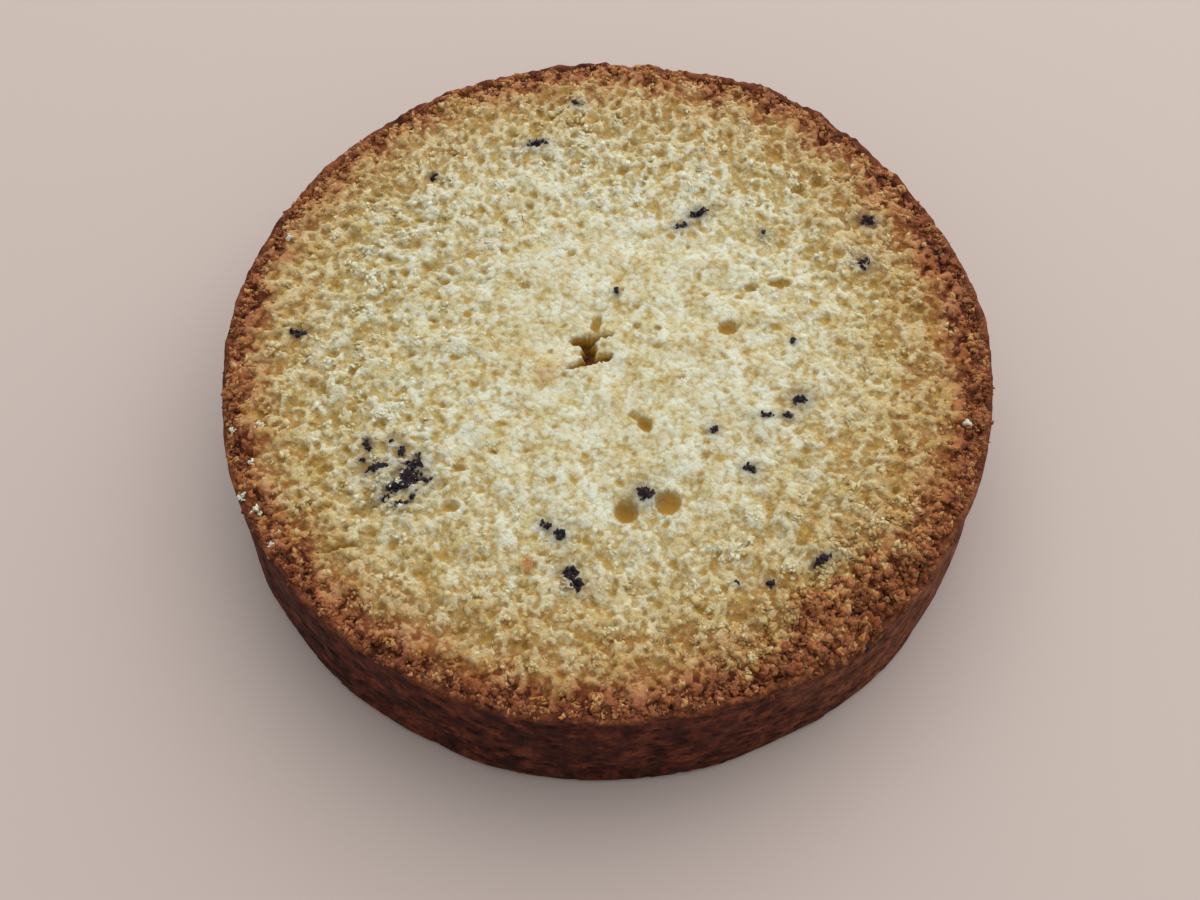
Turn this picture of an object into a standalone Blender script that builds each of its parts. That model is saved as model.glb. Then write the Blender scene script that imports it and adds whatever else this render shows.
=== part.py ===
"""A round sponge cake, cut level on top, with crushed chocolate cookies baked into it.

One solid: the browned crust, the knife-cut crumb, the torn bubbles and the cookie pieces that
stand out of the cut are all relief on it. Metres, +Z up, origin at the middle of the flat base.
"""
import math
import random

import bmesh
import bpy
from mathutils import Matrix, Vector, noise

# One seed for all random draws, so that the same cake is built each time
SEED = 2407

# Driving sizes, in metres
BASE_RADIUS = 0.0995
RIM_RADIUS = 0.0985
HEIGHT = 0.0400
BASE_ROUNDING = 0.0022

# The rounded foot's middle ring, as shares of the rounding: how far in and how high
FOOT_RING_INSET = 0.25
FOOT_RING_HEIGHT = 0.4

# The mesh: squares across the cut, and rings down the wall as shares of the height
CUT_SQUARES = 48
WALL_LEVELS = (0.96, 0.80, 0.58, 0.34, 0.14)

# The cut face: the knife's slow waves, the crumb's lumps and the slump towards the rim.
# Each place says where in the endless noise the waves are read
KNIFE_WAVE = 0.0009
KNIFE_WAVE_LENGTH = 0.060
KNIFE_WAVE_PLACE = 3.0
LUMP = 0.0012
LUMP_LENGTH = 0.0080
LUMP_PLACE = 11.0
RIM_SLUMP = 0.0012
RIM_SLUMP_WIDTH = 0.010

# The baked shoulder that the knife missed: where it lies and how far it drops
SHOULDER_ANGLE = math.radians(-52)
SHOULDER_HALF_ANGLE = math.radians(27)
SHOULDER_DROP = 0.0055
SHOULDER_WIDTH = 0.024

# The wall: slow out-of-round waves, one bulge, and the dimples of a crust baked against a tin
OUT_OF_ROUND = 0.0006
BULGE = 0.0016
BULGE_ANGLE = math.radians(60)
BULGE_HALF_ANGLE = math.radians(24)
WALL_DIMPLE = 0.0008
WALL_DIMPLE_LENGTH = 0.0085
WALL_DIMPLE_PLACE = 23.0

# Large bubbles and tears in the cut: x, y, length, width and depth in millimetres
LARGE_PITS = (
    (-4, 3, 10, 6, 5.5),
    (-2, 9, 5, 9, 2.5),
    (5, -45, 7, 6, 3.2),
    (15, -42, 7, 7, 3.4),
    (8, -20, 8, 5, 2.8),
    (31, 8, 6, 5, 2.6),
    (45, 22, 6, 3, 2.2),
    (57, 56, 4, 4, 2.2),
    (54, 33, 4, 4, 2.2),
    (12, 48, 5, 5, 2.0),
    (-38, -44, 5, 5, 2.4),
    (-28, -78, 6, 5, 2.6),
    (-64, -54, 8, 2, 2.0),
)
SMALL_PITS = 9
SMALL_PIT_SIZE = (0.0028, 0.0042)
SMALL_PIT_STRETCH = (1.0, 1.4)
SMALL_PIT_DEPTH_SHARE = 0.5
SMALL_PIT_GAP = 0.012

# Every pit: how rough it is and how far it is turned either way, and how high its middle lies
PIT_ROUGHNESS = 0.14
PIT_TURN = 0.3
PIT_RISE = 0.15

# Larger cookie pieces: x, y, length and width in millimetres
LARGE_COOKIES = (
    (-50, -35, 9, 9),
    (-57, -33, 5, 4),
    (-52, -42, 5, 3),
    (-8, -62, 5, 5),
    (-12, -51, 4, 4),
    (9, -40, 5, 5),
    (35, -33, 4, 4),
    (49, -14, 5, 5),
    (51, -58, 5, 4),
    (70, 43, 5, 4),
    (68, 29, 4, 5),
    (25, 45, 6, 5),
    (-19, 68, 6, 4),
    (-79, 8, 4, 3),
    (61, -75, 4, 3),
)
SMALL_COOKIES = 12
SMALL_COOKIE_SIZE = (0.0024, 0.0036)
SMALL_COOKIE_STRETCH = (1.0, 1.3)
SMALL_COOKIE_GAP = 0.010
COOKIE_CORNERS = 15
COOKIE_CORNER_REACH = (0.85, 1.1)
COOKIE_SHOWING = 0.30

# How far the small pits and cookies keep from the rim
RIM_MARGIN = 0.012

MILLIMETRE = 0.001
CRUMB_COLOUR = (0.62, 0.53, 0.31, 1.0)
CRUMB_ROUGHNESS = 0.95
SHARP_ANGLE = math.radians(50)


def remove_everything():
    for thing in list(bpy.data.objects):
        bpy.data.objects.remove(thing, do_unlink=True)


def wave(x, y, z, length, place):
    """Smooth noise between about -1 and 1, with waves of the given length."""
    return noise.noise(Vector((x / length + place, y / length, z / length)))


def smooth(share):
    """A ramp from 0 to 1 with soft ends."""
    share = min(max(share, 0.0), 1.0)
    return share * share * (3.0 - 2.0 * share)


def nearness(angle, middle, half_angle):
    """1 at the middle angle, falling softly to 0 this far to each side of it."""
    turn = (angle - middle + math.pi) % (2 * math.pi) - math.pi
    return smooth(1.0 - abs(turn) / half_angle)


def outline(angle):
    """How far the cake stands out from a true circle at this angle."""
    waves = 0.6 * math.cos(2 * angle - 2.6) + 0.4 * math.cos(3 * angle + 0.6)
    ripples = 0.4 * math.sin(7 * angle + 1.0) + 0.3 * math.sin(13 * angle)
    return OUT_OF_ROUND * (waves + ripples) + BULGE * nearness(angle, BULGE_ANGLE, BULGE_HALF_ANGLE)


def shoulder(angle):
    """1 in the middle of the uncut shoulder, falling to 0 at its ends."""
    return nearness(angle, SHOULDER_ANGLE, SHOULDER_HALF_ANGLE)


def cut_height(x, y):
    """Height of the cut face above the base."""
    radius = math.hypot(x, y)
    angle = math.atan2(y, x)
    inward = RIM_RADIUS - radius
    height = HEIGHT
    height += KNIFE_WAVE * wave(x, y, 0.0, KNIFE_WAVE_LENGTH, KNIFE_WAVE_PLACE)
    height += LUMP * wave(x, y, 0.0, LUMP_LENGTH, LUMP_PLACE)
    height -= RIM_SLUMP * smooth(1.0 - inward / RIM_SLUMP_WIDTH)
    height -= SHOULDER_DROP * shoulder(angle) * smooth(1.0 - inward / SHOULDER_WIDTH)
    return height


def wall_point(angle, share, top):
    """A point on the wall, this share of the way from the base up to the rim."""
    radius = BASE_RADIUS + (RIM_RADIUS - BASE_RADIUS) * share + outline(angle)
    height = top * share
    x = radius * math.cos(angle)
    y = radius * math.sin(angle)
    radius += WALL_DIMPLE * wave(x, y, height, WALL_DIMPLE_LENGTH, WALL_DIMPLE_PLACE)
    return Vector((radius * math.cos(angle), radius * math.sin(angle), height))


def square_to_disc(x, y):
    """Where a point of the square from -1 to 1 lies on the unit disc, ring for ring."""
    reach = max(abs(x), abs(y))
    if reach == 0.0:
        return 0.0, 0.0
    if abs(x) > abs(y):
        angle = (math.pi / 4) * (y / x) + (math.pi if x < 0 else 0.0)
    else:
        angle = math.pi / 2 - (math.pi / 4) * (x / y) + (math.pi if y < 0 else 0.0)
    return reach * math.cos(angle), reach * math.sin(angle)


def shape_cut_face(mesh):
    """Bend a square grid into the round, lumpy cut face."""
    bmesh.ops.create_grid(mesh, x_segments=CUT_SQUARES, y_segments=CUT_SQUARES, size=1.0)
    for vertex in mesh.verts:
        x, y = square_to_disc(vertex.co.x, vertex.co.y)
        angle = math.atan2(y, x)
        reach = RIM_RADIUS + outline(angle) * math.hypot(x, y)
        vertex.co = Vector((x * reach, y * reach, cut_height(x * reach, y * reach)))


def lower_edge(mesh, edges, place):
    """Extrude a ring of edges, and put each new vertex where the function says."""
    made = bmesh.ops.extrude_edge_only(mesh, edges=edges)["geom"]
    for vertex in made:
        if isinstance(vertex, bmesh.types.BMVert):
            vertex.co = place(vertex.co)
    return [edge for edge in made if isinstance(edge, bmesh.types.BMEdge)]


def rim_edges(mesh):
    return [edge for edge in mesh.edges if edge.is_boundary]


def make_body():
    """The cake before its bubbles and cookies: cut face, wall, rounded foot and flat base."""
    mesh = bmesh.new()
    shape_cut_face(mesh)
    ring = rim_edges(mesh)
    tops = {}

    def down_to(share):
        def place(point):
            angle = round(math.atan2(point.y, point.x), 4)
            top = tops.setdefault(angle, point.z)
            return wall_point(angle, share, top)
        return place

    for share in WALL_LEVELS:
        ring = lower_edge(mesh, ring, down_to(share))

    def foot(inset, height):
        def place(point):
            angle = math.atan2(point.y, point.x)
            radius = BASE_RADIUS + outline(angle) - inset
            return Vector((radius * math.cos(angle), radius * math.sin(angle), height))
        return place

    ring = lower_edge(mesh, ring, foot(BASE_ROUNDING * FOOT_RING_INSET, BASE_ROUNDING * FOOT_RING_HEIGHT))
    ring = lower_edge(mesh, ring, foot(BASE_ROUNDING, 0.0))
    bmesh.ops.contextual_create(mesh, geom=ring)
    bmesh.ops.recalc_face_normals(mesh, faces=mesh.faces)
    bmesh.ops.triangulate(mesh, faces=mesh.faces)
    return finish_mesh(mesh, "cake")


def finish_mesh(mesh, name):
    """Turn a finished bmesh into an object of this name."""
    data = bpy.data.meshes.new(name)
    mesh.to_mesh(data)
    mesh.free()
    thing = bpy.data.objects.new(name, data)
    bpy.context.scene.collection.objects.link(thing)
    return thing


def make_pit(draw, x, y, length, width, depth):
    """A rough egg, half sunk in the cut face, that a bubble is cut with."""
    mesh = bmesh.new()
    bmesh.ops.create_icosphere(mesh, subdivisions=2, radius=1.0)
    for vertex in mesh.verts:
        vertex.co *= 1.0 + draw.uniform(-PIT_ROUGHNESS, PIT_ROUGHNESS)
    turn = Matrix.Rotation(draw.uniform(-PIT_TURN, PIT_TURN), 4, "Z")
    size = Matrix.Diagonal((length / 2, width / 2, depth, 1.0))
    place = Matrix.Translation((x, y, cut_height(x, y) + depth * PIT_RISE))
    bmesh.ops.transform(mesh, matrix=place @ turn @ size, verts=mesh.verts)
    return finish_mesh(mesh, "bubble")


def make_cookie(draw, x, y, length, width):
    """A broken cookie piece: the hull of a few random corners, mostly sunk in the crumb."""
    mesh = bmesh.new()
    for _ in range(COOKIE_CORNERS):
        corner = Vector((draw.gauss(0, 1), draw.gauss(0, 1), draw.gauss(0, 1))).normalized()
        corner *= draw.uniform(*COOKIE_CORNER_REACH)
        mesh.verts.new((corner.x * length / 2, corner.y * width / 2, corner.z * min(length, width) / 2))
    bmesh.ops.convex_hull(mesh, input=mesh.verts)
    inside = [vertex for vertex in mesh.verts if not vertex.link_faces]
    bmesh.ops.delete(mesh, geom=inside, context="VERTS")
    sunk = (0.5 - COOKIE_SHOWING) * min(length, width)
    bmesh.ops.translate(mesh, verts=mesh.verts, vec=(x, y, cut_height(x, y) - sunk))
    bmesh.ops.recalc_face_normals(mesh, faces=mesh.faces)
    return finish_mesh(mesh, "cookie")


def spread(draw, count, taken, gap):
    """Random places on the cut face, each clear of the places already taken."""
    places = []
    while len(places) < count:
        angle = draw.uniform(0, 2 * math.pi)
        radius = (RIM_RADIUS - RIM_MARGIN) * math.sqrt(draw.random())
        spot = (radius * math.cos(angle), radius * math.sin(angle))
        if all(math.dist(spot, other) > gap for other in taken + places):
            places.append(spot)
    return places


def merge(body, pieces, operation):
    """Cut or fuse all the pieces in one Boolean on their collection, then drop them."""
    group = bpy.data.collections.new(operation.lower())
    for piece in pieces:
        group.objects.link(piece)
        piece.hide_render = True
        piece.display_type = "WIRE"
    joining = body.modifiers.new(operation.lower(), "BOOLEAN")
    joining.operand_type = "COLLECTION"
    joining.collection = group
    joining.operation = operation
    joining.solver = "EXACT"
    graph = bpy.context.evaluated_depsgraph_get()
    merged = bpy.data.meshes.new_from_object(body.evaluated_get(graph))
    body.modifiers.remove(joining)
    body.data = merged
    for piece in pieces:
        bpy.data.objects.remove(piece, do_unlink=True)
    bpy.data.collections.remove(group)


def drop_scraps(body):
    """Keep only the largest of the separate shells."""
    mesh = bmesh.new()
    mesh.from_mesh(body.data)
    left = set(mesh.verts)
    shells = []
    while left:
        shell = {left.pop()}
        edge_of_search = list(shell)
        while edge_of_search:
            vertex = edge_of_search.pop()
            for edge in vertex.link_edges:
                other = edge.other_vert(vertex)
                if other not in shell:
                    shell.add(other)
                    left.discard(other)
                    edge_of_search.append(other)
        shells.append(shell)
    shells.sort(key=len)
    scraps = [vertex for shell in shells[:-1] for vertex in shell]
    bmesh.ops.delete(mesh, geom=scraps, context="VERTS")
    mesh.to_mesh(body.data)
    mesh.free()


def centre(body):
    """Put the middle of the body's outer box over the origin, with the base at height 0."""
    corners = [vertex.co for vertex in body.data.vertices]
    middle_x = (min(p.x for p in corners) + max(p.x for p in corners)) / 2
    middle_y = (min(p.y for p in corners) + max(p.y for p in corners)) / 2
    body.data.transform(Matrix.Translation((-middle_x, -middle_y, 0.0)))


def add_finish(body):
    finish = bpy.data.materials.new("sponge crumb")
    finish.use_nodes = True
    shader = finish.node_tree.nodes["Principled BSDF"]
    shader.inputs["Base Color"].default_value = CRUMB_COLOUR
    shader.inputs["Roughness"].default_value = CRUMB_ROUGHNESS
    shader.inputs["Metallic"].default_value = 0.0
    body.data.materials.clear()
    body.data.materials.append(finish)
    body.data.shade_smooth()
    body.data.set_sharp_from_angle(angle=SHARP_ANGLE)


def build_cake():
    draw = random.Random(SEED)
    body = make_body()

    pit_sizes = [tuple(value * MILLIMETRE for value in pit) for pit in LARGE_PITS]
    cookie_sizes = [tuple(value * MILLIMETRE for value in cookie) for cookie in LARGE_COOKIES]
    taken = [pit[:2] for pit in pit_sizes] + [cookie[:2] for cookie in cookie_sizes]

    small_pits = spread(draw, SMALL_PITS, taken, SMALL_PIT_GAP)
    taken += small_pits
    small_cookies = spread(draw, SMALL_COOKIES, taken, SMALL_COOKIE_GAP)

    for x, y in small_pits:
        across = draw.uniform(*SMALL_PIT_SIZE)
        along = across * draw.uniform(*SMALL_PIT_STRETCH)
        pit_sizes.append((x, y, along, across, across * SMALL_PIT_DEPTH_SHARE))
    for x, y in small_cookies:
        across = draw.uniform(*SMALL_COOKIE_SIZE)
        cookie_sizes.append((x, y, across * draw.uniform(*SMALL_COOKIE_STRETCH), across))

    merge(body, [make_pit(draw, *pit) for pit in pit_sizes], "DIFFERENCE")
    merge(body, [make_cookie(draw, *cookie) for cookie in cookie_sizes], "UNION")
    drop_scraps(body)
    centre(body)
    add_finish(body)


remove_everything()
build_cake()
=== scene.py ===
# %% [markdown]
# # A level-cut sponge cake with crushed cookies
# The real object is one bare cake layer. It was baked in a round tin, so its wall and base are a
# thin browned crust, and its domed top was sliced off, so the face we look down on is open crumb.
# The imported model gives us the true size. Everything below is dressed onto it in the same metres,
# with the origin at the middle of the base.

# %% Load the frame
import math

import bpy
import numpy as np
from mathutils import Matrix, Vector, noise


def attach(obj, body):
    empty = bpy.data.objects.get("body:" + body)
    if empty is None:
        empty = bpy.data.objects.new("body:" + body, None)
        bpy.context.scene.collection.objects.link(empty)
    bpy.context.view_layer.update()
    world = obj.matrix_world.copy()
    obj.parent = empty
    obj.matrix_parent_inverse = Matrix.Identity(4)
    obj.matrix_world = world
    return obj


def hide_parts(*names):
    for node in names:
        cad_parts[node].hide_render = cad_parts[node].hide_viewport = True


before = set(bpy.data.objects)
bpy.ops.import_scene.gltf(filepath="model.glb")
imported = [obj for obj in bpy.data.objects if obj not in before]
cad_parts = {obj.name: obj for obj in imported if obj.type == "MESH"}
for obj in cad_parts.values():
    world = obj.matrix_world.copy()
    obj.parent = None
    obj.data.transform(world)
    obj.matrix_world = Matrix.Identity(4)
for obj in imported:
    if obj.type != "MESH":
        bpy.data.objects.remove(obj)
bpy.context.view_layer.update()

MM = 0.001

# %% [markdown]
# ## Sizes
# A cake shrinks a little as it cools, so a 200 mm tin gives a layer of about 198 mm, a touch
# narrower at the rim. These are the same driving sizes as in the solid. The knife left one
# shoulder of the baked dome uncut at the front right, where the rim is lower.

# %% Driving sizes
BASE_RADIUS = 99.5 * MM
RIM_RADIUS = 98.5 * MM
HEIGHT = 40.0 * MM
FOOT_ROUNDING = 2.2 * MM
KNIFE_WAVE = 0.9 * MM
KNIFE_WAVE_LENGTH = 60 * MM
KNIFE_WAVE_PLACE = 3.0
LUMP = 1.2 * MM
LUMP_LENGTH = 8 * MM
LUMP_PLACE = 11.0
RIM_SLUMP = 1.2 * MM
RIM_SLUMP_WIDTH = 10 * MM
SHOULDER_ANGLE = math.radians(-52)
SHOULDER_HALF_ANGLE = math.radians(27)
SHOULDER_DROP = 5.5 * MM
SHOULDER_WIDTH = 24 * MM
OUT_OF_ROUND = 0.6 * MM
# Share, how many around, and phase
OUTLINE_WAVES = ((0.6, 2, -2.6), (0.4, 3, 0.6))
OUTLINE_RIPPLES = ((0.4, 7, 1.0), (0.3, 13, 0.0))
BULGE = 1.6 * MM
BULGE_ANGLE = math.radians(60)
BULGE_HALF_ANGLE = math.radians(24)
print(f"cake of {2 * BASE_RADIUS / MM:.0f} mm across and {HEIGHT / MM:.0f} mm high")

# %% [markdown]
# ## Uneven by rule
# Crumb looks random, but a lesson should give the same cake each time it is run. So all unevenness
# comes from seeded tables. Smooth noise gives swells and fluff. Cell noise gives pits and pores,
# which lie apart and have a middle each. Every noise is a named pair: its length and its seed.

# %% Noise helpers
TABLE = 720
# A squared distance, in cell lengths, that no nearest centre has
BEYOND = 9.0


def smooth(share):
    """A ramp from 0 to 1 with soft ends."""
    share = np.clip(share, 0.0, 1.0)
    return share * share * (3.0 - 2.0 * share)


def swell(x, y, length, seed, around=TABLE):
    """Smooth noise from -1 to 1. A wall's x repeats after this many lengths around."""
    table = np.random.RandomState(seed).uniform(-1.0, 1.0, (TABLE, TABLE))
    across, up = x / length, y / length
    left, low = np.floor(across).astype(int), np.floor(up).astype(int)
    in_x, in_y = smooth(across - left), smooth(up - low)
    near, far = left % around, (left + 1) % around
    floor, ceiling = low % TABLE, (low + 1) % TABLE
    bottom = table[near, floor] * (1 - in_x) + table[far, floor] * in_x
    top = table[near, ceiling] * (1 - in_x) + table[far, ceiling] * in_x
    return bottom * (1 - in_y) + top * in_y


def cells(x, y, length, seed, around=TABLE):
    """Distance to the nearest scattered centre, in cell lengths, and that cell's own number."""
    draw = np.random.RandomState(seed)
    shift_x, shift_y, number = draw.rand(3, TABLE, TABLE)
    across, up = x / length, y / length
    left, low = np.floor(across).astype(int), np.floor(up).astype(int)
    nearest = np.full(np.shape(x), BEYOND)
    own = np.zeros(np.shape(x))
    for step_x in (-1, 0, 1):
        for step_y in (-1, 0, 1):
            column, row = (left + step_x) % around, (low + step_y) % TABLE
            gap_x = left + step_x + shift_x[column, row] - across
            gap_y = low + step_y + shift_y[column, row] - up
            gap = gap_x * gap_x + gap_y * gap_y
            closer = gap < nearest
            nearest = np.where(closer, gap, nearest)
            own = np.where(closer, number[column, row], own)
    return np.sqrt(nearest), own


def form_noise(x, y, length, place):
    """The very noise that shapes the solid, so that the dressed cake keeps its form."""
    spots = zip(np.ravel(x) / length + place, np.ravel(y) / length)
    return np.array([noise.noise(Vector((u, v, 0.0))) for u, v in spots]).reshape(np.shape(x))


# %% [markdown]
# ## The outline and the cut height
# The wall is round but for slow waves and one bulge at the back right. The cut is level but for
# the knife's waves, and it slumps at the rim.

# %% Form of the cake
def turn_between(angle, middle):
    """The shorter turn from the middle angle to this one, to either side."""
    return (angle - middle + math.pi) % (2 * math.pi) - math.pi


def nearness(angle, middle, half_angle):
    """1 at the middle angle, falling softly to 0 this far to each side of it."""
    return smooth(1.0 - np.abs(turn_between(angle, middle)) / half_angle)


def outline(angle):
    """How far the cake stands out from a true circle at this angle."""
    waves = sum(share * np.cos(count * angle + phase) for share, count, phase in OUTLINE_WAVES)
    ripples = sum(share * np.sin(count * angle + phase) for share, count, phase in OUTLINE_RIPPLES)
    return OUT_OF_ROUND * (waves + ripples) + BULGE * nearness(angle, BULGE_ANGLE, BULGE_HALF_ANGLE)


def inward_of_rim(x, y):
    """Distance from the rim towards the middle."""
    return RIM_RADIUS + outline(np.arctan2(y, x)) - np.hypot(x, y)


def shoulder(x, y):
    """1 in the middle of the uncut shoulder at the rim, falling softly to 0 around it."""
    share = nearness(np.arctan2(y, x), SHOULDER_ANGLE, SHOULDER_HALF_ANGLE)
    return share * smooth(1.0 - (RIM_RADIUS - np.hypot(x, y)) / SHOULDER_WIDTH)


def form_height(x, y):
    """Height of the cut face above the base, without its crumb."""
    inward = RIM_RADIUS - np.hypot(x, y)
    height = HEIGHT + KNIFE_WAVE * form_noise(x, y, KNIFE_WAVE_LENGTH, KNIFE_WAVE_PLACE)
    height += LUMP * form_noise(x, y, LUMP_LENGTH, LUMP_PLACE)
    height -= RIM_SLUMP * smooth(1.0 - inward / RIM_SLUMP_WIDTH)
    return height - SHOULDER_DROP * shoulder(x, y)


print(f"outline wanders {np.ptp(outline(np.linspace(-3.14, 3.14, 400))) / MM:.1f} mm")

# %% [markdown]
# ## Bubbles, tears and cookies
# The larger holes and cookie pieces have their own places on the real cake, so each gets a line
# here: where it is and how big, in millimetres. The torn hole near the middle is made of a few
# overlapping slots. Small pits come from the crumb noise further down.

# %% Places of the larger features
# x, y, half length, half width, turn in degrees, depth
BUBBLES = (
    (4.7, -45.2, 3.2, 3.0, 0, 2.9),
    (14.9, -42.5, 3.4, 3.5, 0, 3.1),
    (31.2, 8.1, 2.9, 2.3, 10, 2.4),
)
TEARS = (
    (-4.5, 1.6, 1.9, 3.6, 8, 6.0),
    (-5.4, 4.5, 3.6, 1.4, 6, 5.0),
    (-0.6, 5.9, 3.2, 0.8, 8, 3.2),
    (-4.6, -1.9, 3.6, 1.3, 20, 6.0),
    (-7.6, -3.4, 2.4, 0.7, 22, 4.5),
    (-0.8, -0.8, 2.4, 0.8, 18, 4.5),
    (-2.6, 9.4, 1.3, 2.8, -12, 2.4),
    (7.0, -18.6, 2.2, 1.2, -35, 1.8),
    (9.3, -20.6, 2.2, 1.7, -50, 2.6),
    (45.1, 22.3, 2.9, 1.5, 5, 2.0),
    (38.0, 21.0, 2.0, 1.2, 0, 1.8),
    (57.2, 56.0, 1.9, 1.5, 0, 2.2),
    (52.2, 53.2, 2.2, 1.2, 20, 2.0),
    (54.4, 33.3, 1.9, 2.0, 0, 1.4),
    (61.5, 32.0, 1.7, 1.7, 0, 1.4),
    (-63.6, 49.2, 1.6, 1.2, 0, 1.9),
    (-75.1, 39.1, 1.4, 1.2, 0, 1.6),
    (12.2, 47.7, 2.4, 2.0, 0, 1.2),
    (-38.2, -43.7, 2.3, 1.6, 0, 1.7),
    (-36.0, -32.9, 1.8, 1.1, 0, 1.6),
    (-28.0, -77.6, 2.7, 1.8, 30, 1.9),
    (-64.2, -54.5, 5.0, 0.8, 14, 2.6),
    (-73.5, -48.9, 1.4, 1.8, 0, 1.8),
    (-42.5, -83.6, 1.5, 1.8, 0, 2.2),
    (-14.1, -90.9, 1.7, 1.3, 0, 2.2),
    (-56.7, 13.4, 1.3, 1.0, 0, 1.4),
    (-9.2, 32.1, 1.3, 1.1, 0, 1.5),
    (7.8, 9.0, 1.1, 1.0, 0, 1.4),
    (13.2, 8.1, 1.1, 0.9, 0, 1.4),
    (-21.1, 21.7, 1.3, 1.0, 0, 1.4),
    (81.0, 14.2, 1.6, 1.6, 0, 1.8),
)
# Patches that the knife scraped smooth
SCRAPES = (
    (-15.6, -5.4, 5.0, 3.2, 20, 0.0),
    (-21.5, 0.6, 4.6, 1.8, -10, 0.0),
)
# x, y, half length, half width, turn in degrees, how many bits it broke into
COOKIES = (
    (-47.4, -33.4, 2.2, 2.6, -25, 44),
    (-49.2, -36.2, 2.9, 2.4, 10, 60),
    (-51.6, -38.6, 2.2, 1.4, 20, 22),
    (-56.4, -33.0, 3.1, 1.2, 20, 34),
    (-53.8, -41.2, 2.2, 0.8, 25, 14),
    (-49.6, -43.4, 2.3, 0.5, 8, 9),
    (-47.0, -41.0, 0.5, 2.2, -20, 7),
    (-44.2, -36.2, 1.8, 0.7, -10, 8),
    (-59.2, -26.6, 0.7, 2.2, 12, 8),
    (-60.1, -30.6, 0.8, 0.6, 0, 3),
    (-50.6, -28.2, 0.8, 1.6, 0, 8),
    (-53.2, -25.4, 0.6, 0.8, 0, 3),
    (-46.6, -29.4, 0.6, 0.9, 0, 4),
    (-14.8, -48.8, 1.4, 0.9, -35, 12),
    (-11.3, -51.3, 1.5, 1.3, -50, 16),
    (-8.8, -61.4, 1.9, 1.7, -30, 26),
    (-6.9, -64.6, 1.7, 1.5, 0, 20),
    (9.3, -40.3, 2.1, 2.1, 0, 34),
    (35.1, -33.3, 1.5, 1.1, -30, 14),
    (48.8, -13.8, 2.0, 1.6, 10, 26),
    (40.0, -18.6, 1.9, 0.8, 0, 8),
    (45.4, -18.4, 1.4, 0.8, -20, 7),
    (51.2, -58.2, 2.3, 1.1, 25, 24),
    (38.6, -64.0, 1.0, 0.9, 0, 7),
    (31.0, -64.2, 0.7, 0.6, 0, 3),
    (70.3, 42.9, 2.0, 1.2, -20, 18),
    (67.9, 29.1, 1.5, 1.9, 0, 16),
    (88.2, 32.4, 1.3, 1.2, 0, 7),
    (24.8, 45.1, 2.6, 1.4, 25, 13),
    (20.1, 40.7, 2.0, 1.2, 10, 7),
    (-18.9, 68.3, 2.7, 1.2, 5, 17),
    (-47.0, 58.1, 0.9, 0.8, 0, 5),
    (-8.0, 83.1, 1.5, 1.2, 0, 4),
    (-79.4, 7.5, 1.9, 1.1, 0, 12),
    (26.7, -22.5, 1.1, 1.2, 0, 7),
    (60.9, -77.2, 1.5, 1.1, 0, 9),
    (41.7, 38.5, 0.7, 0.9, 0, 4),
    (2.7, 19.3, 0.7, 0.8, 0, 4),
    (47.7, 3.9, 0.8, 0.8, 0, 4),
)
print(len(BUBBLES), "bubbles,", len(TEARS), "tears and", len(COOKIES), "cookie pieces")

# %% [markdown]
# ## Fields over the cut face
# Every piece on the cut asks the same few questions of a place: how high is it, how hollow, how
# browned, and how much has a cookie stained it? Each answer is one function of x and y, so the
# ground and the loose crumbs on it always agree.

# %% Pits
PIT_WOBBLE = (1.2 * MM, 31)
# How ragged the edge of each kind is
PIT_KINDS = ((BUBBLES, 0.08), (TEARS, 0.28), (SCRAPES, 0.5))
# The crumb is wiped smooth this far out, in pit sizes, and this sharply
CALM_REACH = 1.25
CALM_SLOPE = 3.2


def oval_distance(x, y, place_x, place_y, half_x, half_y, turn):
    """0 in the middle of an oval, 1 on its edge. The oval's numbers are in millimetres."""
    cosine, sine = math.cos(math.radians(turn)), math.sin(math.radians(turn))
    gap_x, gap_y = x / MM - place_x, y / MM - place_y
    along = (gap_x * cosine + gap_y * sine) / half_x
    across = (gap_y * cosine - gap_x * sine) / half_y
    return np.hypot(along, across)


def pit_depth(x, y):
    """How deep the named pits go here, and how much of the crumb they wipe smooth."""
    depth = np.zeros(np.shape(x))
    calm = np.zeros(np.shape(x))
    wobble = swell(x, y, *PIT_WOBBLE)
    for pits, ragged in PIT_KINDS:
        for *oval, deep in pits:
            away = oval_distance(x, y, *oval) + ragged * wobble
            bowl = np.sqrt(np.clip(1.0 - np.clip(away, 0.0, 1.0) ** 2, 0.0, 1.0))
            depth = np.maximum(depth, deep * MM * bowl)
            calm = np.maximum(calm, smooth(CALM_SLOPE * (CALM_REACH - away)))
    return depth, calm


# %% [markdown]
# ## Browning and cookie dust
# The band along the rim baked hotter: a dark ring at the crust, and a pale tail inside it. Both
# wander, as heat does in a tin. The uncut shoulder is browned in patches. Cookie dust greys the
# crumb around each piece.

# %% Browning
# How far the browned band reaches in from the rim, in millimetres, by angle in degrees
BAND_ANGLES = (-180, -140, -110, -85, -70, -52, -35, -15, 10, 40, 70, 100, 140, 180)
BAND_WIDTHS = (9.5, 11.0, 12.5, 14.0, 14.5, 14.5, 15.5, 15.5, 14.5, 13.0, 12.5, 11.5, 10.5, 9.5)
BAND_WANDER = (6 * MM, 41)
BAND_WANDER_DEPTH = 2.6 * MM
BAND_FRAY = (2.4 * MM, 42)
BAND_FRAY_DEPTH = 2.0 * MM
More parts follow.
